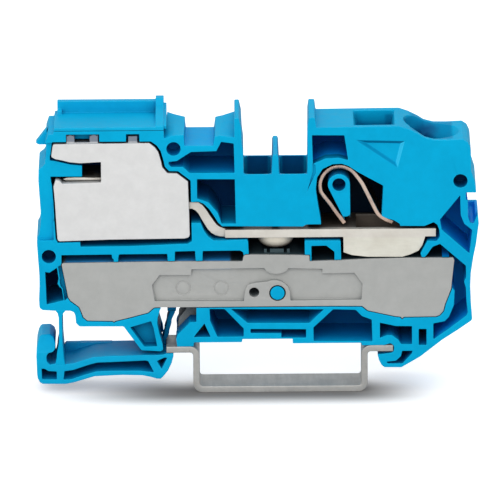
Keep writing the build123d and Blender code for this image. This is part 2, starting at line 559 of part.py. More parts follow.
FORK = [
    (-33.2, 26.95), (-32.6, 27.16), (-31.4, 27.22), (-29.9, 27.18), (-28.9, 27.14), (-24.6, 27.14),
    (-24.6, 29.60), (-24.0, 29.60), (-24.0, 23.97), (-18.2, 23.97), (-18.2, 23.37), (-24.6, 23.37),
    (-24.6, 26.74), (-32.8, 26.74),
]
fork_y = (-3.85, 2.40)
fork_tab_x, fork_tab_z = (-25.0, -23.5), (27.60, 29.7)
FORK_SPRING = [
    (-23.90, 24.02), (-23.90, 26.40), (-23.55, 26.75), (-20.8, 26.75), (-20.45, 26.40),
    (-20.45, 26.10), (-20.75, 26.10), (-20.95, 26.45), (-23.40, 26.45), (-23.60, 26.25),
    (-23.60, 24.32), (-18.3, 24.32), (-18.3, 24.02),
]
fork_spring_y = (-3.0, 1.8)


def make_disconnect_slide():
    with BuildPart() as slide:
        box(slide_left, slide_right, y_near, slide_far, slide_bottom, slide_top)
        # ridge along the far edge
        box(ridge_left, slide_right, 3.00, slide_far, slide_top, 37.35)
        end_prism(SLIDE_END, slide_right - slide_end_len, slide_right)
        # low raised left end
        box(ridge_left, -33.35, 1.80, slide_far, slide_top, 36.20)
        end_prism(SLIDE_STRIP, slide_right - overlap, slide_strip_end)
        for prong_x in PRONGS_X:
            box(*prong_x, -prong_half, prong_half, prong_bottom, slide_bottom)
    return slide.part


def make_contact_fork():
    with BuildPart() as fork:
        prism(FORK, *fork_y)
        # the upper tab is as wide as the prongs
        box(*fork_tab_x, -3.9, -prong_half, *fork_tab_z, Mode.SUBTRACT)
        box(*fork_tab_x, prong_half, 2.5, *fork_tab_z, Mode.SUBTRACT)
    return fork.part


# ---- current bar ---------------------------------------------------------------------------
# bent part, which runs on into the carrier: lower edge left to right, upper edge back
BEND = [
    (-19.4, 23.27), (-19.4, 22.17),
    (-13.38, 22.09), (-12.84, 21.82), (-12.41, 21.33), (-11.98, 20.5), (-11.51, 19.67),
    (-10.99, 18.78), (-10.4, 18.16), (-9.8, 17.78), (-9.17, 17.61),
    (-8.23, bar_bottom), (-8.00, bar_bottom), (-8.00, bar_top), (-8.23, bar_top),
    (-9.01, 19.09), (-9.54, 19.45), (-10, 20.06), (-10.59, 20.96), (-11.19, 21.94),
    (-11.73, 22.66), (-12.36, 23.15),
]
# drawn boss under the jumper slots: depth below the bar, X radius, Y radius
BOSS = [
    (-overlap, 3.15, 2.85), (0.80, 3.08, 2.78), (1.45, 2.72, 2.45), (1.95, 2.15, 1.90),
    (2.30, 1.40, 1.20), (2.42, 0.60, 0.50),
]
boss_centre = (-0.5, -1.2)
# clamp collar drawn down under the window, outside and inside
COLLAR = [
    (9.91, 15.04), (11.23, 14.56), (13.7, 14.27), (18.95, 14.22), (20.19, 14.59), (21.53, 15.23),
    (22.13, 16.13), (22.55, bar_bottom + overlap), (9.91, bar_bottom + overlap),
]
COLLAR_INSIDE = [
    (window_x[0], bar_top + 0.1), (window_x[0], 15.35), (14.3, 15.02), (18.4, 15.02),
    (19.6, 15.40), (window_x[1], 16.20), (window_x[1], bar_top + 0.1),
]


def make_current_bar():
    with BuildPart() as bar:
        box(bar_left, bar_right, bar_near, bar_far, bar_bottom, bar_top)
        prism(BEND, bend_near, bend_far)
        boss = []
        for depth, radius_x, radius_y in BOSS:
            with BuildSketch(Plane.XY.offset(bar_bottom - depth)) as section:
                with Locations(boss_centre):
                    Ellipse(radius_x, radius_y)
            boss.append(section.sketch.face())
        loft(boss, ruled=True)
        prism(COLLAR, bar_near, bar_far - 0.15)
        prism(COLLAR_INSIDE, *window_y, Mode.SUBTRACT)
        # jumper slots, one under the middle of each well
        for x0, x1 in wells_x:
            middle = (x0 + x1) / 2
            box(middle - jumper_slot_half, middle + jumper_slot_half, *jumper_slot_y,
                bar_bottom - 3, bar_top + 1, Mode.SUBTRACT)
    return bar.part


# ---- clamp spring --------------------------------------------------------------------------
def strip(path, thickness):
    """Side outline of a bent strip: its centre line offset by half the thickness each way."""
    left, right = [], []
    for i, (x, z) in enumerate(path):
        x0, z0 = path[max(i - 1, 0)]
        x1, z1 = path[min(i + 1, len(path) - 1)]
        chord = math.hypot(x1 - x0, z1 - z0)
        shift_x = -(z1 - z0) / chord * thickness / 2
        shift_z = (x1 - x0) / chord * thickness / 2
        left.append((x + shift_x, z + shift_z))
        right.append((x - shift_x, z - shift_z))
    return left + right[::-1]


def loop_points(first_deg, stop_deg):
    """Centre-line points of the loop, clockwise, stopping short of stop_deg."""
    radius = loop_r - spring_t / 2
    angles = [math.radians(deg) for deg in range(first_deg, stop_deg, -loop_step_deg)]
    return [(loop_x + radius * math.cos(a), loop_z + radius * math.sin(a)) for a in angles]


# centre lines (X, Z)
ANCHOR_PATH = [(10.10, 19.35), (8.85, 21.15), (7.60, 22.95)] + loop_points(204, split_deg)
LEG_PATH = loop_points(split_deg - 2, 29) + [
    (12.75, 25.95), (13.50, 24.40), (14.25, 22.85), (14.95, 21.40), (15.32, 20.72),
    (15.80, 20.28), (16.55, 19.78), (17.50, 19.38),
]

# ---- build and export ----------------------------------------------------------------------
PIECES = {
    "housing": make_housing(),
    "rail_foot": make_rail_foot(),
    "foot_web": make_plain_prism(WEB, y_near, foot_far),
    "foot_blade": make_plain_prism(BLADE, blade_near, blade_far),
    "side_insert": make_side_insert(),
    "contact_carrier": make_contact_carrier(),
    "disconnect_slide": make_disconnect_slide(),
    "contact_fork": make_contact_fork(),
    "fork_spring": make_plain_prism(FORK_SPRING, *fork_spring_y),
    "current_bar": make_current_bar(),
    "clamp_spring_anchor": make_plain_prism(strip(ANCHOR_PATH, spring_t), *spring_y),
    "clamp_spring_leg": make_plain_prism(strip(LEG_PATH, spring_t), *spring_y),
}

os.makedirs("parts", exist_ok=True)
for name, part in PIECES.items():
    part.label = name
    export_step(part, f"parts/{name}.step")
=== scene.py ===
import bpy, bmesh, math, json
from mathutils import Vector, Matrix
from mathutils.geometry import delaunay_2d_cdt

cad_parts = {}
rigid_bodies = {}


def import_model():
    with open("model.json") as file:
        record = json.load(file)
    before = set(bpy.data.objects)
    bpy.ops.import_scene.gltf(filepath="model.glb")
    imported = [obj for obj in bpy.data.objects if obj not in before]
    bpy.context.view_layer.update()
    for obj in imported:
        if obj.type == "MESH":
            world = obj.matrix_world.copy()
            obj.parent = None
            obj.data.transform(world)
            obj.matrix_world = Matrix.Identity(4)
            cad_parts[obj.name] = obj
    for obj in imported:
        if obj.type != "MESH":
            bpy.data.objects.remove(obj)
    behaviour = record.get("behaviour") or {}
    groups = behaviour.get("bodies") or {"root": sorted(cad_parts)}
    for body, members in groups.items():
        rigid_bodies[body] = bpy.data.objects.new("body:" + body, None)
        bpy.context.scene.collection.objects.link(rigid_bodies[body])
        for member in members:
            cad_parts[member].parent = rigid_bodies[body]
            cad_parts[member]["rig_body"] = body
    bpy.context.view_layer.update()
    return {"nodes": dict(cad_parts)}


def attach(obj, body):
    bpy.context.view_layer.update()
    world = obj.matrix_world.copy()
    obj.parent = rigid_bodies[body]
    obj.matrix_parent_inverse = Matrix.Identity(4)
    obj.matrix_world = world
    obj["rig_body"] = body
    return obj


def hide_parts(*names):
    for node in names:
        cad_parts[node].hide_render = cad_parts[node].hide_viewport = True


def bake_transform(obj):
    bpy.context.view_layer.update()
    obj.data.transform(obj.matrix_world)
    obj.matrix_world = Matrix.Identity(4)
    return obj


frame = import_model()


MM = 0.001
nodes = frame["nodes"]
scene = bpy.context.scene
coll = scene.collection

# ------------------------------------------------------------------------------------------------
# materials
# ------------------------------------------------------------------------------------------------

def new_mat(name):
    m = bpy.data.materials.new(name)
    m.use_nodes = True
    nt = m.node_tree
    for n in list(nt.nodes):
        nt.nodes.remove(n)
    out = nt.nodes.new("ShaderNodeOutputMaterial")
    b = nt.nodes.new("ShaderNodeBsdfPrincipled")
    nt.links.new(b.outputs[0], out.inputs[0])
    return m, nt, b


def coords(nt, scale):
    tc = nt.nodes.new("ShaderNodeTexCoord")
    mp = nt.nodes.new("ShaderNodeMapping")
    mp.inputs["Scale"].default_value = scale if hasattr(scale, "__len__") else (scale,) * 3
    nt.links.new(tc.outputs["Object"], mp.inputs[0])
    return mp.outputs[0]


def noise(nt, vec, scale, detail=4.0, rough=0.55):
    n = nt.nodes.new("ShaderNodeTexNoise")
    n.inputs["Scale"].default_value = scale
    n.inputs["Detail"].default_value = detail
    n.inputs["Roughness"].default_value = rough
    nt.links.new(vec, n.inputs["Vector"])
    return n.outputs["Fac"]


def ramp(nt, fac, stops):
    r = nt.nodes.new("ShaderNodeValToRGB")
    els = r.color_ramp.elements
    els[0].position, els[0].color = stops[0][0], (*stops[0][1], 1)
    els[1].position, els[1].color = stops[-1][0], (*stops[-1][1], 1)
    for p, c in stops[1:-1]:
        e = els.new(p)
        e.color = (*c, 1)
    nt.links.new(fac, r.inputs[0])
    return r.outputs[0]


def maprange(nt, v, a, b, c, d):
    m = nt.nodes.new("ShaderNodeMapRange")
    m.inputs[1].default_value, m.inputs[2].default_value = a, b
    m.inputs[3].default_value, m.inputs[4].default_value = c, d
    nt.links.new(v, m.inputs[0])
    return m.outputs[0]


def mixrgb(nt, fac, a, b, mode="MIX"):
    m = nt.nodes.new("ShaderNodeMix")
    m.data_type = "RGBA"
    m.blend_type = mode
    for sock, val in ((m.inputs[0], fac), (m.inputs[6], a), (m.inputs[7], b)):
        if hasattr(val, "is_output"):
            nt.links.new(val, sock)
        elif hasattr(val, "__len__"):
            sock.default_value = (*val[:3], 1)
        else:
            sock.default_value = val
    return m.outputs[2]


def bump(nt, height, strength, dist, normal=None):
    b = nt.nodes.new("ShaderNodeBump")
    b.inputs["Strength"].default_value = strength
    b.inputs["Distance"].default_value = dist
    nt.links.new(height, b.inputs["Height"])
    if normal is not None:
        nt.links.new(normal, b.inputs["Normal"])
    return b.outputs[0]


def edge_mask(nt, radius):
    """1 on edges, 0 on flats: how far a rounded normal leans away from the true one."""
    bev = nt.nodes.new("ShaderNodeBevel")
    bev.samples = 6
    bev.inputs[0].default_value = radius
    geo = nt.nodes.new("ShaderNodeNewGeometry")
    dot = nt.nodes.new("ShaderNodeVectorMath")
    dot.operation = "DOT_PRODUCT"
    nt.links.new(bev.outputs[0], dot.inputs[0])
    nt.links.new(geo.outputs["Normal"], dot.inputs[1])
    return maprange(nt, dot.outputs["Value"], 0.995, 0.80, 0.0, 1.0), bev.outputs[0]


def back_wall(nt, y_from, y_to):
    """1 on walls that face the open side from deep inside, 0 elsewhere; the mask is used to paint shade onto these deep
    walls.
    """
    tc = nt.nodes.new("ShaderNodeTexCoord")
    sp = nt.nodes.new("ShaderNodeSeparateXYZ")
    nt.links.new(tc.outputs["Object"], sp.inputs[0])
    geo = nt.nodes.new("ShaderNodeNewGeometry")
    sn = nt.nodes.new("ShaderNodeSeparateXYZ")
    nt.links.new(geo.outputs["Normal"], sn.inputs[0])
    m = nt.nodes.new("ShaderNodeMath")
    m.operation = "MULTIPLY"
    nt.links.new(maprange(nt, sp.outputs[1], y_from, y_to, 0.0, 1.0), m.inputs[0])
    nt.links.new(maprange(nt, sn.outputs[1], -0.75, -0.97, 0.0, 1.0), m.inputs[1])
    low = nt.nodes.new("ShaderNodeMath")
    low.operation = "MULTIPLY"
    nt.links.new(m.outputs[0], low.inputs[0])
    nt.links.new(maprange(nt, sp.outputs[2], 0.0325, 0.0338, 1.0, 0.0), low.inputs[1])
    return low.outputs[0]


def zone(nt, axis_ranges, soft=0.0002):
    """1 inside a box given as {axis: (low, high)} in metres, with soft sides."""
    tc = nt.nodes.new("ShaderNodeTexCoord")
    sp = nt.nodes.new("ShaderNodeSeparateXYZ")
    nt.links.new(tc.outputs["Object"], sp.inputs[0])
    out = None
    for ax, (lo, hi) in axis_ranges.items():
        for v in (maprange(nt, sp.outputs[ax], lo - soft, lo + soft, 0.0, 1.0),
                  maprange(nt, sp.outputs[ax], hi - soft, hi + soft, 1.0, 0.0)):
            if out is None:
                out = v
            else:
                m = nt.nodes.new("ShaderNodeMath")
                m.operation = "MULTIPLY"
                nt.links.new(out, m.inputs[0])
                nt.links.new(v, m.inputs[1])
                out = m.outputs[0]
    return out


def times(nt, a, b):
    m = nt.nodes.new("ShaderNodeMath")
    m.operation = "MULTIPLY"
    for i, v in enumerate((a, b)):
        if hasattr(v, "is_output"):
            nt.links.new(v, m.inputs[i])
        else:
            m.inputs[i].default_value = v
    return m.outputs[0]


def facing(nt, axis, lo, hi):
    """0 to 1 as one component of the surface normal goes from lo to hi."""
    geo = nt.nodes.new("ShaderNodeNewGeometry")
    sn = nt.nodes.new("ShaderNodeSeparateXYZ")
    nt.links.new(geo.outputs["Normal"], sn.inputs[0])
    return maprange(nt, sn.outputs[axis], lo, hi, 0.0, 1.0)


def plastic(name, base, tint_lo, tint_hi, rough=0.42, grain=0.10, spec=0.35, edge=None, sss=0.0, ao=None, back=None, zones=(), lifts=(),
            facets=()):
    m, nt, b = new_mat(name)
    v = coords(nt, 1.0)
    big = noise(nt, v, 90.0, 3.0)          # flow mottling, about 10 mm
    mid = noise(nt, v, 700.0, 4.0, 0.6)    # about 1.5 mm
    fine = noise(nt, v, 5200.0, 5.0, 0.65)  # spark-eroded mould grain, 0.2 mm
    col = ramp(nt, big, [(0.30, tint_lo), (0.5, base), (0.72, tint_hi)])
    speck = maprange(nt, mid, 0.35, 0.7, 0.965, 1.03)
    hs = nt.nodes.new("ShaderNodeHueSaturation")
    nt.links.new(col, hs.inputs["Color"])
    nt.links.new(speck, hs.inputs["Value"])
    col = hs.outputs[0]
    # painted highlight: rounded edges are mixed toward the lighter edge colour, broken up by noise
    if edge is not None:
        mask, _ = edge_mask(nt, 0.00016)
        highlight_breakup = noise(nt, v, 420.0, 3.0)
        mm = nt.nodes.new("ShaderNodeMath"); mm.operation = "MULTIPLY"
        nt.links.new(mask, mm.inputs[0])
        nt.links.new(maprange(nt, highlight_breakup, 0.3, 0.7, 0.45, 1.0), mm.inputs[1])
        col = mixrgb(nt, mm.outputs[0], col, edge)
    raw = col
    # painted shade: colour is multiplied toward the ao colour where the occlusion mask finds recesses and corners
    if ao is not None:
        a = nt.nodes.new("ShaderNodeAmbientOcclusion")
        a.samples = 8
        a.inputs["Distance"].default_value = 0.008
        f = maprange(nt, a.outputs["AO"], 0.10, 0.62, 0.0, 1.0)
        col = mixrgb(nt, f, mixrgb(nt, 1.0, col, ao, "MULTIPLY"), col)
    # painted shade: deep walls that face the open side are darkened by the back colour
    if back is not None:
        col = mixrgb(nt, back_wall(nt, back[0], back[1]), col, mixrgb(nt, 1.0, col, back[2], "MULTIPLY"))
    # painted shade and light: colour is multiplied by a tint inside given boxes, darker or lighter per tint
    for ranges, tint in zones:
        col = mixrgb(nt, zone(nt, ranges), col, mixrgb(nt, 1.0, col, tint, "MULTIPLY"))
    # painted light: recesses inside given boxes are mixed back toward their unshaded colour, made bluer
    for ranges, amount in lifts:
        col = mixrgb(nt, times(nt, zone(nt, ranges), amount), col, mixrgb(nt, 1.0, raw, (1.0, 0.80, 1.30), "MULTIPLY"))
    # painted light and shade: recess sides inside given boxes are recoloured by the way they face
    for ranges, ax, lo, hi, tone in facets:
        col = mixrgb(nt, times(nt, zone(nt, ranges), facing(nt, ax, lo, hi)), col, tone)
    nt.links.new(col, b.inputs["Base Color"])
    nt.links.new(maprange(nt, mid, 0.3, 0.7, rough - 0.05, rough + 0.08), b.inputs["Roughness"])
    n1 = bump(nt, fine, grain, 0.00002)
    n2 = bump(nt, mid, grain * 0.7, 0.00004, n1)
    nt.links.new(n2, b.inputs["Normal"])
    b.inputs["Specular IOR Level"].default_value = spec
    if sss:
        b.inputs["Subsurface Weight"].default_value = sss
        b.inputs["Subsurface Radius"].default_value = (0.4, 0.8, 1.0)
        b.inputs["Subsurface Scale"].default_value = 0.0006
    return m


def metal(name, base, dark, rough=0.30, streak_axis=(1, 1, 1), tint=None, scratch=0.25, metallic=1.0, ao=None, zones=(),
          edge=None, sides=None):
    m, nt, b = new_mat(name)
    v = coords(nt, 1.0)
    vs = coords(nt, streak_axis)
    streak = noise(nt, vs, 900.0, 5.0, 0.7)
    blotch = noise(nt, v, 260.0, 4.0, 0.6)
    fine = noise(nt, v, 4200.0, 4.0, 0.7)
    col = ramp(nt, blotch, [(0.28, dark), (0.55, base), (0.78, tuple(min(1, c * 1.12) for c in base))])
    if tint is not None:
        t = maprange(nt, noise(nt, v, 130.0, 3.0), 0.42, 0.68, 0.0, 0.75)
        col = mixrgb(nt, t, col, tint)
    col = mixrgb(nt, maprange(nt, streak, 0.35, 0.65, 0.0, 0.35), col, tuple(c * 0.82 for c in base))
    # painted shade: rounded edges are mixed toward the edge colour, which on the spring strip is a dark outline
    if edge is not None:
        mask, _ = edge_mask(nt, 0.00020)
        mm = nt.nodes.new("ShaderNodeMath")
        mm.operation = "MULTIPLY"
        nt.links.new(mask, mm.inputs[0])
        nt.links.new(maprange(nt, noise(nt, v, 380.0, 3.0), 0.35, 0.65, 0.25, 0.95), mm.inputs[1])
        col = mixrgb(nt, mm.outputs[0], col, edge)
    # painted shade: colour is multiplied toward the ao colour where the occlusion mask finds recesses and corners
    if ao is not None:
        a = nt.nodes.new("ShaderNodeAmbientOcclusion")
        a.samples = 8
        a.inputs["Distance"].default_value = 0.006
        f = maprange(nt, a.outputs["AO"], 0.10, 0.55, 0.0, 1.0)
        col = mixrgb(nt, f, mixrgb(nt, 1.0, col, ao, "MULTIPLY"), col)
    # painted shade and light: colour is multiplied by a tint inside given boxes, darker or lighter per tint
    for ranges, zt in zones:
        col = mixrgb(nt, zone(nt, ranges), col, mixrgb(nt, 1.0, col, zt, "MULTIPLY"))
    # painted shade: faces that do not face the front are darkened by the sides colour
    if sides is not None:
        col = mixrgb(nt, facing(nt, 1, -0.97, -0.62), col, mixrgb(nt, 1.0, col, sides, "MULTIPLY"))
    nt.links.new(col, b.inputs["Base Color"])
    nt.links.new(maprange(nt, streak, 0.3, 0.7, rough - 0.08, rough + 0.14), b.inputs["Roughness"])
    b.inputs["Metallic"].default_value = metallic
    n1 = bump(nt, streak, scratch, 0.00001)
    n2 = bump(nt, fine, scratch * 0.5, 0.00001, n1)
    nt.links.new(n2, b.inputs["Normal"])
    return m


# painted light and shade on the housing: lighter edges; darker recesses, deep walls, spring room, an upper-right box
# and four pin holes; a brighter box above the spring room; three lifted recess zones; the triangular recess's sides
# toned by the way they face
MAT_BLUE = plastic("blue_polyamide_grained", (0.0, 0.395, 0.680), (0.0, 0.375, 0.655), (0.0, 0.415, 0.705),
                   rough=0.46, grain=0.10, spec=0.06, edge=(0.02, 0.60, 0.93), ao=(0.0, 0.20, 0.34),
                   back=(0.0012, 0.0034, (0.0, 0.34, 0.50)),
                   zones=[({0: (0.0045, 0.0196), 1: (-0.0010, 0.0043), 2: (0.0180, 0.0290)}, (0.25, 0.16, 0.14)),
                          ({0: (0.0165, 0.0268), 1: (-0.0042, 0.0044), 2: (0.0250, 0.0347)}, (0.5, 0.66, 0.74)),
                          ({0: (0.0045, 0.0120), 1: (-0.0030, 0.0043), 2: (0.0292, 0.0336)}, (1.0, 2.5, 2.7))]
                   + [({0: (x - 0.0012, x + 0.0012), 1: (-0.0047, -0.0010), 2: (z - 0.0012, z + 0.0012)}, (0.5, 0.50, 0.62))
                      for x, z in ((-0.03551, 0.01479), (-0.01613, 0.03205), (0.02796, 0.02656), (0.00927, 0.02605))],
                   lifts=[({0: (0.0232, 0.0325), 1: (-0.0046, 0.0043), 2: (0.0010, 0.0252)}, 0.72),
                          ({0: (-0.0175, -0.0060), 1: (-0.0046, 0.0043), 2: (0.0262, 0.0330)}, 0.26),
                          ({0: (-0.0170, 0.0235), 1: (-0.0046, 0.0043), 2: (-0.0060, 0.0056)}, 0.22)],
                   facets=[({0: (0.0112, 0.0200), 1: (-0.0060, -0.0040), 2: (0.0282, 0.0336)}, 2, -0.25, -0.55, (0.0, 0.17, 0.34)),
                           ({0: (0.0112, 0.0200), 1: (-0.0060, -0.0040), 2: (0.0282, 0.0336)}, 0, 0.20, 0.40, (0.0, 0.28, 0.52)),
                           ({0: (0.0112, 0.0200), 1: (-0.0060, -0.0040), 2: (0.0282, 0.0336)}, 0, -0.25, -0.50, (0.03, 0.55, 0.84))])
# painted light and shade: lighter edges, darker recesses
MAT_FOOT = plastic("blue_foot_grained", (0.0, 0.395, 0.680), (0.0, 0.375, 0.655), (0.0, 0.415, 0.705),
                   rough=0.46, grain=0.10, spec=0.10, edge=(0.03, 0.62, 0.94), ao=(0.0, 0.50, 0.68))
MAT_COVER = plastic("blue_cover_grained", (0.0, 0.395, 0.680), (0.0, 0.375, 0.655), (0.0, 0.415, 0.705),
                    rough=0.46, grain=0.10, spec=0.10, edge=(0.03, 0.62, 0.94), ao=(0.0, 0.30, 0.44))
# painted light and shade on the insert: lighter edges, darker recesses, and the band from 12.5 to 20 mm high given a
# strong blue cast toward its left end and darkened toward its right end
MAT_GREY = plastic("grey_polyamide_grained", (0.425, 0.430, 0.412), (0.405, 0.410, 0.392), (0.445, 0.450, 0.432),
                   rough=0.52, grain=0.12, spec=0.22, edge=(0.62, 0.62, 0.60), ao=(0.20, 0.24, 0.27),
                   zones=[({0: (-0.0330, -0.0075), 1: (-0.0045, 0.0070), 2: (0.0125, 0.0200)}, (0.13, 1.5, 3.3)),
                          ({0: (-0.0075, 0.0300), 1: (-0.0045, 0.0070), 2: (0.0125, 0.0200)}, (0.10, 0.18, 0.22))])
# painted light and shade on the carrier: lighter edges, darker recesses and deep walls, and the studs above 33.1 mm,
# which sit in the windows' shade, darkened
MAT_WHITE = plastic("white_polyamide_grained", (0.715, 0.713, 0.700), (0.706, 0.703, 0.688), (0.724, 0.722, 0.710),
                    rough=0.46, grain=0.08, spec=0.20, edge=(0.93, 0.93, 0.92), ao=(0.08, 0.09, 0.10),
                    back=(0.0, 0.003, (0.10, 0.10, 0.10)), zones=[({2: (0.0331, 0.0360)}, (0.30, 0.34, 0.42))])
# painted light and shade on the bar: recesses darkened, the metal above 18.7 mm behind the spring darkened to dark
# brown, the metal from 15 to 18.7 mm behind the front darkened, and two patches of the front face brightened
MAT_TIN = metal("tinned_copper_bar", (0.80, 0.765, 0.685), (0.70, 0.655, 0.575), rough=0.46, streak_axis=(0.25, 1.6, 1.6),
                scratch=0.22, metallic=0.45, ao=(0.10, 0.07, 0.06),
                zones=[({0: (0.0045, 0.0240), 1: (-0.0036, 0.0070), 2: (0.0187, 0.0230)}, (0.10, 0.065, 0.055)),
                       ({0: (0.0095, 0.0240), 1: (-0.0060, -0.0030), 2: (0.0120, 0.0174)}, (1.04, 1.06, 1.03)),
                       ({0: (-0.0045, 0.0035), 1: (-0.0060, 0.0030), 2: (0.0140, 0.0174)}, (1.26, 1.22, 1.14)),
                       ({0: (0.0095, 0.0240), 1: (-0.0036, 0.0070), 2: (0.0150, 0.0187)}, (0.30, 0.26, 0.24))])
# painted shade: recesses darkened, and the fork above 27.3 mm made almost black where it sits in the carrier's dark
# notch
MAT_FORK = metal("tinned_fork", (0.88, 0.84, 0.76), (0.55, 0.50, 0.42), rough=0.34, streak_axis=(0.25, 1.6, 1.6),
                 scratch=0.30, metallic=0.55, ao=(0.05, 0.04, 0.035),
                 zones=[({2: (0.0273, 0.0320)}, (0.03, 0.03, 0.03))])
# painted shade: edges outlined dark, side faces darkened, recesses darkened
MAT_SPRING = metal("spring_strip_steel", (0.90, 0.72, 0.60), (0.48, 0.34, 0.28), rough=0.27, streak_axis=(1.6, 0.2, 1.6),
                   tint=(0.90, 0.58, 0.42), scratch=0.22, ao=(0.30, 0.22, 0.19), edge=(0.16, 0.085, 0.06),
                   sides=(0.30, 0.20, 0.16))
MAT_RAIL = metal("galvanised_rail", (0.50, 0.49, 0.46), (0.40, 0.395, 0.375), rough=0.42, streak_axis=(1.4, 0.2, 1.4),
                 scratch=0.20, metallic=0.55)

# ------------------------------------------------------------------------------------------------
# mesh helpers
# ------------------------------------------------------------------------------------------------

def set_material(o, mat):
    o.data.materials.clear()
    o.data.materials.append(mat)


def shade(me, angle=38.0):
    """Smooth shading with creases where faces meet at more than the angle."""
    bm = bmesh.new()
    bm.from_mesh(me)
    for f in bm.faces:
        f.smooth = True
    lim = math.radians(angle)
    for e in bm.edges:
        e.smooth = not (len(e.link_faces) == 2 and e.calc_face_angle(0.0) > lim)
    bm.to_mesh(me)
    bm.free()


def obj_from_bm(name, bm):
    me = bpy.data.meshes.new(name)
    bm.normal_update()
    bm.to_mesh(me)
    bm.free()
    o = bpy.data.objects.new(name, me)
    coll.objects.link(o)
    return o


def clean(bm, weld=4e-6, tiny=2.0e-5):
    bmesh.ops.remove_doubles(bm, verts=bm.verts, dist=weld)
    bmesh.ops.dissolve_degenerate(bm, dist=tiny, edges=bm.edges)
    flat = [e for e in bm.edges if len(e.link_faces) == 2 and all(len(f.verts) == 3 for f in e.link_faces)
            and e.calc_face_angle(0.0) < math.radians(0.3)]
    bmesh.ops.beautify_fill(bm, faces=bm.faces, edges=flat, method="ANGLE")


def flat_regions(bm, angle=0.8):
    """Width of the flat area each triangle belongs to: twice its area over its rim."""
    lim = math.radians(angle)
    seen, thin = set(), {}
    for f0 in bm.faces:
        if f0 in seen:
            continue
        seen.add(f0)
        stack, group, area, rim = [f0], [], 0.0, 0.0
        while stack:
            f = stack.pop()
            group.append(f)
            area += f.calc_area()
            for e in f.edges:
                if len(e.link_faces) == 2 and e.calc_face_angle(0.0) < lim:
                    g = e.link_faces[0] if e.link_faces[1] is f else e.link_faces[1]
                    if g not in seen:
                        seen.add(g)
                        stack.append(g)
                else:
                    rim += e.calc_length()
        for f in group:
            thin[f] = 2.0 * area / max(rim, 1e-9)
    return thin


def weigh_edges(bm, width, min_angle=24.0):
    """Bevel weight per edge, smaller where a face or a step is too narrow for the full rounding."""
    layer = bm.edges.layers.float.get("bevel_weight_edge") or bm.edges.layers.float.new("bevel_weight_edge")
    lim = math.radians(min_angle)
    sharp = {e for e in bm.edges if len(e.link_faces) == 2 and e.calc_face_angle(0.0) > lim}
    thin = flat_regions(bm)
    for e in sharp:
        w = 0.34 * min(thin[f] for f in e.link_faces)
        corners = 0
        for v in e.verts:
            d = (e.other_vert(v).co - v.co).normalized()
            hit = False
            for e2 in v.link_edges:
                if e2 is e or e2 not in sharp:
                    continue
                d2 = (e2.other_vert(v).co - v.co).normalized()
                if d.dot(d2) > -0.90:
                    w = min(w, 0.42 * e2.calc_length())
                    hit = True
            corners += hit
        if corners == 2:
            w = min(w, 0.45 * e.calc_length())
        e[layer] = max(0.02, min(1.0, w / width))


def flat_normals(o):
    """Large flat faces keep their own normal, only the rounded edges between them blend."""
    w = o.modifiers.new("normals", "WEIGHTED_NORMAL")
    w.mode = "FACE_AREA"
    w.weight = 100
    w.thresh = 0.01
    w.keep_sharp = True
    dg = bpy.context.evaluated_depsgraph_get()
    me = bpy.data.meshes.new_from_object(o.evaluated_get(dg))
    o.modifiers.clear()
    o.data = me


def refill_flats(me, tol=3.0e-7):
    """Flat areas in which a triangle folded over or thinned to a sliver are filled again from their rim."""
    bm = bmesh.new()
    bm.from_mesh(me)
    bm.normal_update()
    order = sorted(bm.faces, key=lambda f: -f.calc_area())
    seen, jobs = set(), []
    for f0 in order:
        if f0 in seen or f0.calc_area() < 2.0e-9:
            continue
        n, d = f0.normal.copy(), f0.normal.dot(f0.verts[0].co)
        group, stack = {f0}, [f0]
        while stack:
            f = stack.pop()
            for e in f.edges:
                for g in e.link_faces:
                    if g in group or g in seen:
                        continue
                    if all(abs(n.dot(v.co) - d) < tol for v in g.verts):
                        group.add(g)
                        stack.append(g)
        seen |= group
        if len(group) < 3:
            continue
        bad = False
        for f in group:
            if f.normal.dot(n) < 0.5:
                bad = True
                break
            longest = max(e.calc_length() for e in f.edges)
            if f.calc_area() < 0.5 * longest * 2.5e-5:
                bad = True
                break
        if bad:
            jobs.append((n, group))
    for n, group in jobs:
        rim = []
        for f in group:
            for e in f.edges:
                if sum(1 for g in e.link_faces if g in group) == 1:
                    rim.append(e)
        rim = list(dict.fromkeys(rim))
        verts = list(dict.fromkeys(v for e in rim for v in e.verts))
        index = {v: i for i, v in enumerate(verts)}
        ax = n.orthogonal().normalized()
        ay = n.cross(ax)
        k = 1000.0
        pts = [Vector((v.co.dot(ax) * k, v.co.dot(ay) * k)) for v in verts]
        segs = [(index[e.verts[0]], index[e.verts[1]]) for e in rim]
        vo, eo, fo, vsrc, esrc, fsrc = delaunay_2d_cdt(pts, segs, [], 1, 1e-5)
        ys = [(pts[a], pts[b]) for a, b in segs]
        made = []
        for tri in fo:
            c = (vo[tri[0]] + vo[tri[1]] + vo[tri[2]]) / 3.0
            hits = 0
            for a, b in ys:
                if (a[1] > c[1]) != (b[1] > c[1]):
                    if a[0] + (c[1] - a[1]) * (b[0] - a[0]) / (b[1] - a[1]) > c[0]:
                        hits += 1
            if hits % 2:
                made.append(tri)
        if not made:
            continue
        height = n.dot(verts[0].co)
        real = []
        for i, src in enumerate(vsrc):
            if src:
                real.append(verts[src[0]])
            else:
                real.append(bm.verts.new(ax * (vo[i][0] / k) + ay * (vo[i][1] / k) + n * height))
        bmesh.ops.delete(bm, geom=list(group), context="FACES_KEEP_BOUNDARY")
        for tri in made:
            vs = [real[i] for i in tri]
            if len(set(vs)) < 3:
                continue
            try:
                f = bm.faces.new(vs)
            except ValueError:
                continue
            f.normal_update()
            if f.normal.dot(n) < 0:
                f.normal_flip()
    loose = [v for v in bm.verts if not v.link_faces]
    bmesh.ops.delete(bm, geom=loose, context="VERTS")
    bm.to_mesh(me)
    bm.free()
    return len(jobs)


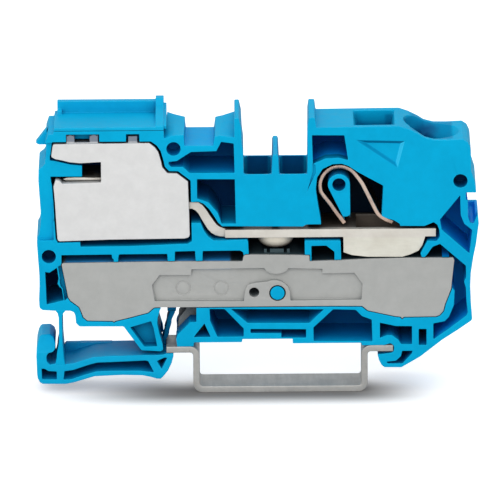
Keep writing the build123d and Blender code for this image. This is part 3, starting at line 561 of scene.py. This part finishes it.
def refine(node, name, width, segments=2, mat=None, angle=38.0, mod=True):
    """A CAD node's shape with moulded or deburred edges, standing for that node."""
    src = nodes[node]
    bm = bmesh.new()
    bm.from_mesh(src.data)
    clean(bm)
    weigh_edges(bm, width * MM)
    o = obj_from_bm(name, bm)
    m = o.modifiers.new("edges", "BEVEL")
    m.width = width * MM
    m.segments = segments
    m.limit_method = "WEIGHT"
    m.use_clamp_overlap = False
    m.miter_outer = "MITER_SHARP"
    m.loop_slide = False
    m.harden_normals = False
    dg = bpy.context.evaluated_depsgraph_get()
    me = bpy.data.meshes.new_from_object(o.evaluated_get(dg))
    o.modifiers.clear()
    o.data = me
    refill_flats(me)
    shade(me, angle)
    flat_normals(o)
    o.data.name = name
    set_material(o, mat)
    body = src["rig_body"]
    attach(o, body)
    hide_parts(node)
    return o


def rounded_section(a0, a1, b0, b1, r, n=3):
    """Corner-rounded rectangle in two coordinates, anticlockwise."""
    pts = []
    for cx, cy, s in ((a1 - r, b1 - r, 0), (a0 + r, b1 - r, 90), (a0 + r, b0 + r, 180), (a1 - r, b0 + r, 270)):
        for i in range(n + 1):
            t = math.radians(s + 90.0 * i / n)
            pts.append((cx + r * math.cos(t), cy + r * math.sin(t)))
    return pts


def skin(name, rings):
    """Closed skin over equal rings of points (mm), with flat ends."""
    bm = bmesh.new()
    vr = [[bm.verts.new(Vector(p) * MM) for p in ring] for ring in rings]
    k = len(rings[0])
    for a, b in zip(vr, vr[1:]):
        for i in range(k):
            j = (i + 1) % k
            bm.faces.new((a[i], a[j], b[j], b[i]))
    bm.faces.new(list(reversed(vr[0])))
    bm.faces.new(vr[-1])
    bmesh.ops.recalc_face_normals(bm, faces=bm.faces)
    return obj_from_bm(name, bm)


def resample(path, step):
    out = [Vector(path[0])]
    for a, b in zip(path, path[1:]):
        a, b = Vector(a), Vector(b)
        n = max(1, int((b - a).length / step))
        for i in range(1, n + 1):
            out.append(a.lerp(b, i / n))
    return out


def smooth_path(path, times=2, keep_ends=True):
    p = [Vector(q) for q in path]
    for _ in range(times):
        q = [p[0]]
        for i in range(1, len(p) - 1):
            q.append(p[i - 1] * 0.25 + p[i] * 0.5 + p[i + 1] * 0.25)
        q.append(p[-1])
        p = q
    return p


def strip_solid(name, path, t, y0, y1, r=0.12, taper=None):
    """A bent strip: path of (x, z), thickness t, from y0 to y1, with rolled edges. taper(s) scales the width."""
    rings = []
    n = len(path)
    for i, p in enumerate(path):
        a = path[max(i - 1, 0)]
        b = path[min(i + 1, n - 1)]
        d = (Vector(b) - Vector(a)).normalized()
        nx, nz = -d[1], d[0]
        w = 1.0 if taper is None else taper(i / (n - 1))
        ym, yh = (y0 + y1) / 2, (y1 - y0) / 2 * w
        ring = [(p[0] + nx * u, ym + v, p[1] + nz * u) for u, v in rounded_section(-t / 2, t / 2, -yh, yh, r)]
        rings.append(ring)
    return skin(name, rings)


def solid_prism(name, pts, y0, y1, width=0.1, segments=2):
    """Side-view outline (mm) run from y0 to y1, edges rounded."""
    bm = bmesh.new()
    a = [bm.verts.new((x * MM, y0 * MM, z * MM)) for x, z in pts]
    b = [bm.verts.new((x * MM, y1 * MM, z * MM)) for x, z in pts]
    n = len(pts)
    bm.faces.new(a)
    bm.faces.new(list(reversed(b)))
    for i in range(n):
        j = (i + 1) % n
        bm.faces.new((a[j], a[i], b[i], b[j]))
    bmesh.ops.recalc_face_normals(bm, faces=bm.faces)
    if width:
        es = [e for e in bm.edges if e.calc_face_angle(0.0) > math.radians(24)]
        bmesh.ops.bevel(bm, geom=es, offset=width * MM, offset_type="OFFSET", segments=segments, profile=0.5,
                        affect="EDGES", clamp_overlap=True)
    return obj_from_bm(name, bm)


def join_mesh(o, extra):
    """Adds the mesh of extra to o and removes extra."""
    bm = bmesh.new()
    bm.from_mesh(o.data)
    bm.from_mesh(extra.data)
    me = bpy.data.meshes.new(o.data.name)
    bm.to_mesh(me)
    bm.free()
    old = o.data
    mats = list(old.materials)
    o.data = me
    for m in mats:
        o.data.materials.append(m)
    shade(me)
    bpy.data.objects.remove(extra)


# ------------------------------------------------------------------------------------------------
# plastic parts
# ------------------------------------------------------------------------------------------------
housing = refine("housing", "housing_moulding", 0.11, 2, MAT_BLUE)
foot = refine("rail_foot", "latch_foot", 0.11, 2, MAT_FOOT)
insert = refine("side_insert", "grey_insert", 0.09, 2, MAT_GREY)
carrier = refine("contact_carrier", "white_carrier", 0.14, 3, MAT_WHITE)
# the foot's closed wall runs on to the foot of the left flexure
wall_end = solid_prism("arm_wall_end", [(-33.36, -3.05), (-33.36, -1.62), (-33.10, -1.37), (-30.70, -1.37), (-30.70, -2.55)],
                       1.52, 2.48, 0.06, 2)
join_mesh(foot, wall_end)
slide = refine("disconnect_slide", "slide_cover", 0.10, 2, MAT_COVER)
bar = refine("current_bar", "tinned_bar", 0.07, 2, MAT_TIN)
fork = refine("contact_fork", "fork", 0.06, 2, MAT_FORK)
fspring = refine("fork_spring", "fork_leaf", 0.05, 2, MAT_SPRING)

# flexures: one skin each, bending between housing and foot
def flexure(name, levels, y0, y1, node, mat, r=0.13):
    rings = []
    for z, x0, x1 in levels:
        rr = min(r, (x1 - x0) * 0.35)
        rings.append([(u, v, z) for u, v in rounded_section(x0, x1, y0, y1, rr)])
    o = skin(name, rings)
    shade(o.data, 50)
    set_material(o, mat)
    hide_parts(node)
    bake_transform(o)
    return o


def lerp_levels(keys, n):
    """keys: (z, x0, x1) from top to bottom; returns n smooth levels."""
    out = []
    for i in range(n):
        z = keys[0][0] + (keys[-1][0] - keys[0][0]) * i / (n - 1)
        for a, b in zip(keys, keys[1:]):
            if a[0] >= z >= b[0]:
                t = (a[0] - z) / (a[0] - b[0])
                t = t * t * (3 - 2 * t)
                out.append((z, a[1] + (b[1] - a[1]) * t, a[2] + (b[2] - a[2]) * t))
                break
    return out


web_levels = lerp_levels([(6.05, -34.62, -33.02), (5.45, -34.25, -33.44), (4.80, -34.12, -33.58), (0.9, -34.12, -33.56),
                          (-1.45, -34.50, -33.42), (-2.9, -34.75, -33.20)], 60)
flexure("flexure_web", web_levels, -5.0, 2.5, "foot_web", MAT_BLUE)
blade_levels = lerp_levels([(4.55, -17.00, -16.10), (2.65, -17.48, -16.72), (0.9, -17.86, -17.10), (-0.4, -18.22, -17.50),
                            (-1.35, -18.30, -17.62)], 50)
flexure("flexure_blade", blade_levels, -0.6, 2.4, "foot_blade", MAT_BLUE)

# clamp spring: one bent strip
LOOP = (9.38, 25.36)
LR = 3.40 - 0.36


def loop_pt(deg):
    return (LOOP[0] + LR * math.cos(math.radians(deg)), LOOP[1] + LR * math.sin(math.radians(deg)))


path = [(10.10, 19.30), (8.85, 21.10), (7.62, 22.90)]
path = resample(path, 0.2)
path += [Vector(loop_pt(d)) for d in range(206, 26, -4)]
path += resample([(12.72, 26.00), (13.50, 24.40), (14.25, 22.85), (14.95, 21.40), (15.30, 20.72), (15.80, 20.24),
                  (16.60, 19.76), (17.50, 19.36)], 0.2)
path = smooth_path(path, 3)
spring = strip_solid("clamp_spring_strip", path, 0.72, -3.20, 2.60, r=0.16)
shade(spring.data, 50)
set_material(spring, MAT_SPRING)
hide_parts("clamp_spring_anchor", "clamp_spring_leg")
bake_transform(spring)

# ------------------------------------------------------------------------------------------------
# stage: floor, rail stub, light, camera
# ------------------------------------------------------------------------------------------------
floor_z = -7.55
bm = bmesh.new()
bmesh.ops.create_grid(bm, x_segments=8, y_segments=8, size=1.6)
floor = obj_from_bm("floor", bm)
floor.location = (0, 0, floor_z * MM)
fm, fnt, fb = new_mat("pale_floor")
fb.inputs["Base Color"].default_value = (0.93, 0.93, 0.93, 1)
fb.inputs["Roughness"].default_value = 0.9
fb.inputs["Specular IOR Level"].default_value = 0.1
fb.inputs["Emission Color"].default_value = (1.0, 0.975, 0.945, 1)
flp = fnt.nodes.new("ShaderNodeLightPath")
# soft contact shade under the object: strongest below the rail, fading in front of it and towards both ends
ftc = fnt.nodes.new("ShaderNodeTexCoord")
fsep = fnt.nodes.new("ShaderNodeSeparateXYZ")
fnt.links.new(ftc.outputs["Object"], fsep.inputs[0])


def fmath(op, a, b=None):
    n = fnt.nodes.new("ShaderNodeMath")
    n.operation = op
    for i, v in enumerate((a, b)):
        if v is None:
            continue
        if hasattr(v, "is_output"):
            fnt.links.new(v, n.inputs[i])
        else:
            n.inputs[i].default_value = v
    return n.outputs[0]


def fsmooth(v, a, b, c, d):
    n = fnt.nodes.new("ShaderNodeMapRange")
    n.interpolation_type = "SMOOTHERSTEP"
    n.inputs[1].default_value, n.inputs[2].default_value = a, b
    n.inputs[3].default_value, n.inputs[4].default_value = c, d
    fnt.links.new(v, n.inputs[0])
    return n.outputs[0]


fx, fy = fsep.outputs[0], fsep.outputs[1]
band = fmath("MULTIPLY", fsmooth(fy, -0.0135, -0.0050, 0.0, 1.0), fsmooth(fy, -0.0045, 0.0035, 1.0, 0.0))
along = fmath("MULTIPLY", fsmooth(fx, -0.0420, -0.0120, 0.0, 1.0), fsmooth(fx, 0.0090, 0.0290, 1.0, 0.0))
shade_f = fmath("MULTIPLY", fmath("MULTIPLY", band, along), 0.85)
keep = fmath("SUBTRACT", 1.0, shade_f)
fvar = noise(fnt, coords(fnt, 1.0), 30.0, 3.0)
fnt.links.new(fmath("MULTIPLY", fmath("MULTIPLY", flp.outputs["Is Camera Ray"], 0.37), keep), fb.inputs["Emission Strength"])
fcol = fnt.nodes.new("ShaderNodeMix")
fcol.data_type = "RGBA"
fcol.inputs[6].default_value = (0.62, 0.62, 0.63, 1)
fnt.links.new(keep, fcol.inputs[7])
fnt.links.new(flp.outputs["Is Camera Ray"], fcol.inputs[0])
fnt.links.new(fcol.outputs[2], fb.inputs["Base Color"])
fnt.links.new(maprange(fnt, fvar, 0.3, 0.7, 0.85, 0.95), fb.inputs["Roughness"])
set_material(floor, fm)

# top-hat rail: 35 mm wide, 7.5 mm high, 1 mm sheet
def arc(cx, cz, r, a0, a1, n=7):
    return [(cx + r * math.cos(math.radians(a0 + (a1 - a0) * i / n)), cz + r * math.sin(math.radians(a0 + (a1 - a0) * i / n)))
            for i in range(n + 1)]


rail_path = [(-17.5, -0.5), (-14.2, -0.5)] + arc(-14.2, -1.4, 0.9, 90, 0) + [(-13.3 + 0.0, -2.0)]
rail_path = [(-17.5, -0.5), (-13.9, -0.5)] + arc(-13.9, -1.5, 1.0, 90, 0) + arc(-11.9, -6.0, 1.0, 180, 270) + \
    arc(12.1, -6.0, 1.0, 270, 360) + arc(14.1, -1.5, 1.0, 180, 90) + [(17.5, -0.5)]
rail = strip_solid("rail_stub", resample(rail_path, 0.5), 1.0, -5.0, 1.0, r=0.12)
shade(rail.data, 40)
set_material(rail, MAT_RAIL)

world = bpy.data.worlds.new("studio")
scene.world = world
world.use_nodes = True
wnt = world.node_tree
for n in list(wnt.nodes):
    wnt.nodes.remove(n)
wo = wnt.nodes.new("ShaderNodeOutputWorld")
bgc = wnt.nodes.new("ShaderNodeBackground")
bgc.inputs[0].default_value = (1, 1, 1, 1)
bgc.inputs[1].default_value = 1.0
bgl = wnt.nodes.new("ShaderNodeBackground")
bgl.inputs[0].default_value = (0.97, 0.98, 1.0, 1)
bgl.inputs[1].default_value = 0.74
lp = wnt.nodes.new("ShaderNodeLightPath")
mx = wnt.nodes.new("ShaderNodeMixShader")
wnt.links.new(lp.outputs["Is Camera Ray"], mx.inputs[0])
wnt.links.new(bgl.outputs[0], mx.inputs[1])
wnt.links.new(bgc.outputs[0], mx.inputs[2])
wnt.links.new(mx.outputs[0], wo.inputs[0])


def area(name, loc, target, size, power, color=(1, 1, 1)):
    ld = bpy.data.lights.new(name, "AREA")
    ld.shape = "RECTANGLE"
    ld.size, ld.size_y = size
    ld.energy = power
    ld.color = color
    lo = bpy.data.objects.new(name, ld)
    coll.objects.link(lo)
    lo.location = Vector(loc)
    lo.rotation_euler = (Vector(target) - Vector(loc)).to_track_quat("-Z", "Y").to_euler()
    return lo


ctr = (-0.003, 0, 0.015)
area("front_soft", (-0.10, -0.52, 0.34), ctr, (0.60, 0.42), 1.75, (1.0, 0.998, 0.99))
area("top_back", (0.06, 0.10, 0.52), ctr, (0.40, 0.30), 0.40, (1, 1, 1))

ELEV = math.radians(18.0)
DIST = 1.500
tgt = Vector((-0.004486, -0.005, 0.015655))
cam_data = bpy.data.cameras.new("camera")
cam_data.sensor_width = 36.0
cam_data.lens = 700.7
cam_data.clip_start = 0.01
cam_data.clip_end = 20
cam = bpy.data.objects.new("camera", cam_data)
coll.objects.link(cam)
pos = tgt + DIST * Vector((0, -math.cos(ELEV), math.sin(ELEV)))
rot = Matrix.Rotation(math.radians(90) - ELEV, 4, "X") @ Matrix.Rotation(math.radians(-0.414), 4, "Z")
cam.matrix_world = Matrix.Translation(pos) @ rot
scene.camera = cam
scene.view_settings.view_transform = "Standard"
scene.view_settings.look = "None"
